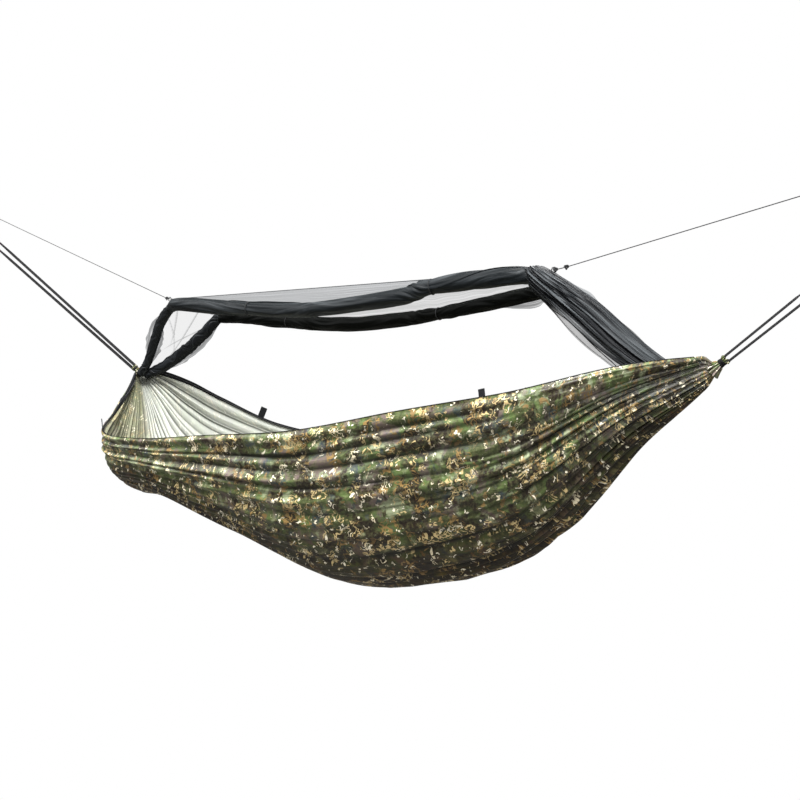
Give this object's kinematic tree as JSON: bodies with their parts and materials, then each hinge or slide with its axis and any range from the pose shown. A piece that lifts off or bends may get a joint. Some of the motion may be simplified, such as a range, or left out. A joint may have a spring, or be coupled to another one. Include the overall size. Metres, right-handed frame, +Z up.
{
  "type": "camping hammock",
  "caption": "Gathered-end camping hammock with a double-layer camouflage bed, an insect net rolled up along its ridge cord, and doubled webbing straps.",
  "frame": {"origin": "the middle of the line between the places where the two end rings bear on their anchor links, about which the hammock swings", "axes": "+X along the hammock towards its right end, +Z up, -Y the front, where a person gets in"},
  "size_m": [3.4435, 0.7496, 1.3662],
  "materials": {
    "camo_cloth": "ripstop polyester with a soft-edged woodland camouflage and small light flecks, slight sheen",
    "lining_cloth": "the paler back of the same cloth",
    "edge_webbing": "flat woven tape, matt",
    "strap_webbing": "flat woven webbing, matt",
    "net_mesh": "fine see-through insect mesh, dark where it is rolled",
    "cord": "braided cord",
    "toggle_plastic": "moulded, matt",
    "zip_metal": "black enamel",
    "steel": "satin"
  },
  "bodies": {
    "anchors": {"left_anchor_link": "steel", "right_anchor_link": "steel", "left_net_anchor_ring": "steel", "right_net_anchor_ring": "steel", "left_net_anchor_knot": "cord", "right_net_anchor_knot": "cord"},
    "hammock": {"bed_outer_layer": "camo_cloth", "left_gathered_cloth": "camo_cloth", "right_gathered_cloth": "camo_cloth", "bed_inner_layer": "lining_cloth", "front_edge_tape": "edge_webbing", "back_edge_tape": "edge_webbing", "front_left_tab": "edge_webbing", "front_middle_tab": "edge_webbing", "front_right_tab": "edge_webbing", "back_left_tab": "edge_webbing", "back_middle_tab": "edge_webbing", "back_right_tab": "edge_webbing", "left_ridge_loop": "edge_webbing", "right_ridge_loop": "edge_webbing", "left_gather_hitch": "strap_webbing", "right_gather_hitch": "strap_webbing", "left_upper_strap": "strap_webbing", "left_upper_strap_eye": "strap_webbing", "left_lower_strap": "strap_webbing", "left_lower_strap_eye": "strap_webbing", "right_upper_strap": "strap_webbing", "right_upper_strap_eye": "strap_webbing", "right_lower_strap": "strap_webbing", "right_lower_strap_eye": "strap_webbing", "front_net_roll": "net_mesh", "back_net_roll": "net_mesh", "front_net_top_panel": "net_mesh", "back_net_top_panel": "net_mesh", "left_front_net_tail": "net_mesh", "left_back_net_tail": "net_mesh", "left_net_end_panel": "net_mesh", "right_net_end_bundle": "net_mesh", "ridge_cord": "cord", "right_net_hem": "cord", "left_net_line": "cord", "right_net_line": "cord", "left_net_line_knot": "cord", "right_net_line_knot": "cord", "front_left_roll_tie": "cord", "front_right_roll_tie": "cord", "back_left_roll_tie": "cord", "back_right_roll_tie": "cord", "front_zip_coil": "toggle_plastic", "back_zip_coil": "toggle_plastic", "front_left_roll_tie_toggle": "toggle_plastic", "front_right_roll_tie_toggle": "toggle_plastic", "back_left_roll_tie_toggle": "toggle_plastic", "back_right_roll_tie_toggle": "toggle_plastic", "left_end_ring": "steel", "right_end_ring": "steel"},
    "front_slider": {"front_zip_slider": "zip_metal"},
    "front_pull": {"front_zip_pull": "zip_metal"},
    "back_slider": {"back_zip_slider": "zip_metal"},
    "back_pull": {"back_zip_pull": "zip_metal"}
  },
  "joints": [
    {"name": "swing", "type": "hinge", "parent": "anchors", "child": "hammock", "pos_m": [-1.69918, 0, 0.19519], "axis": [0.9935, 0, -0.1141], "range_deg": [-20, 20]},
    {"name": "front_zip_slide", "type": "slide", "parent": "hammock", "child": "front_slider", "axis": [-0.9016, -0.3981, -0.1691], "range_m": [0, 0.1]},
    {"name": "front_pull_flip", "type": "hinge", "parent": "front_slider", "child": "front_pull", "pos_m": [1.22957, -0.12435, -0.42554], "axis": [-0.9016, -0.3981, -0.1691], "range_deg": [-100, 0]},
    {"name": "back_zip_slide", "type": "slide", "parent": "hammock", "child": "back_slider", "axis": [-0.873, 0.4782, -0.0964], "range_m": [0, 0.1]},
    {"name": "back_pull_flip", "type": "hinge", "parent": "back_slider", "child": "back_pull", "pos_m": [1.22796, 0.15094, -0.44579], "axis": [-0.873, 0.4782, -0.0964], "range_deg": [0, 100]}
  ]
}
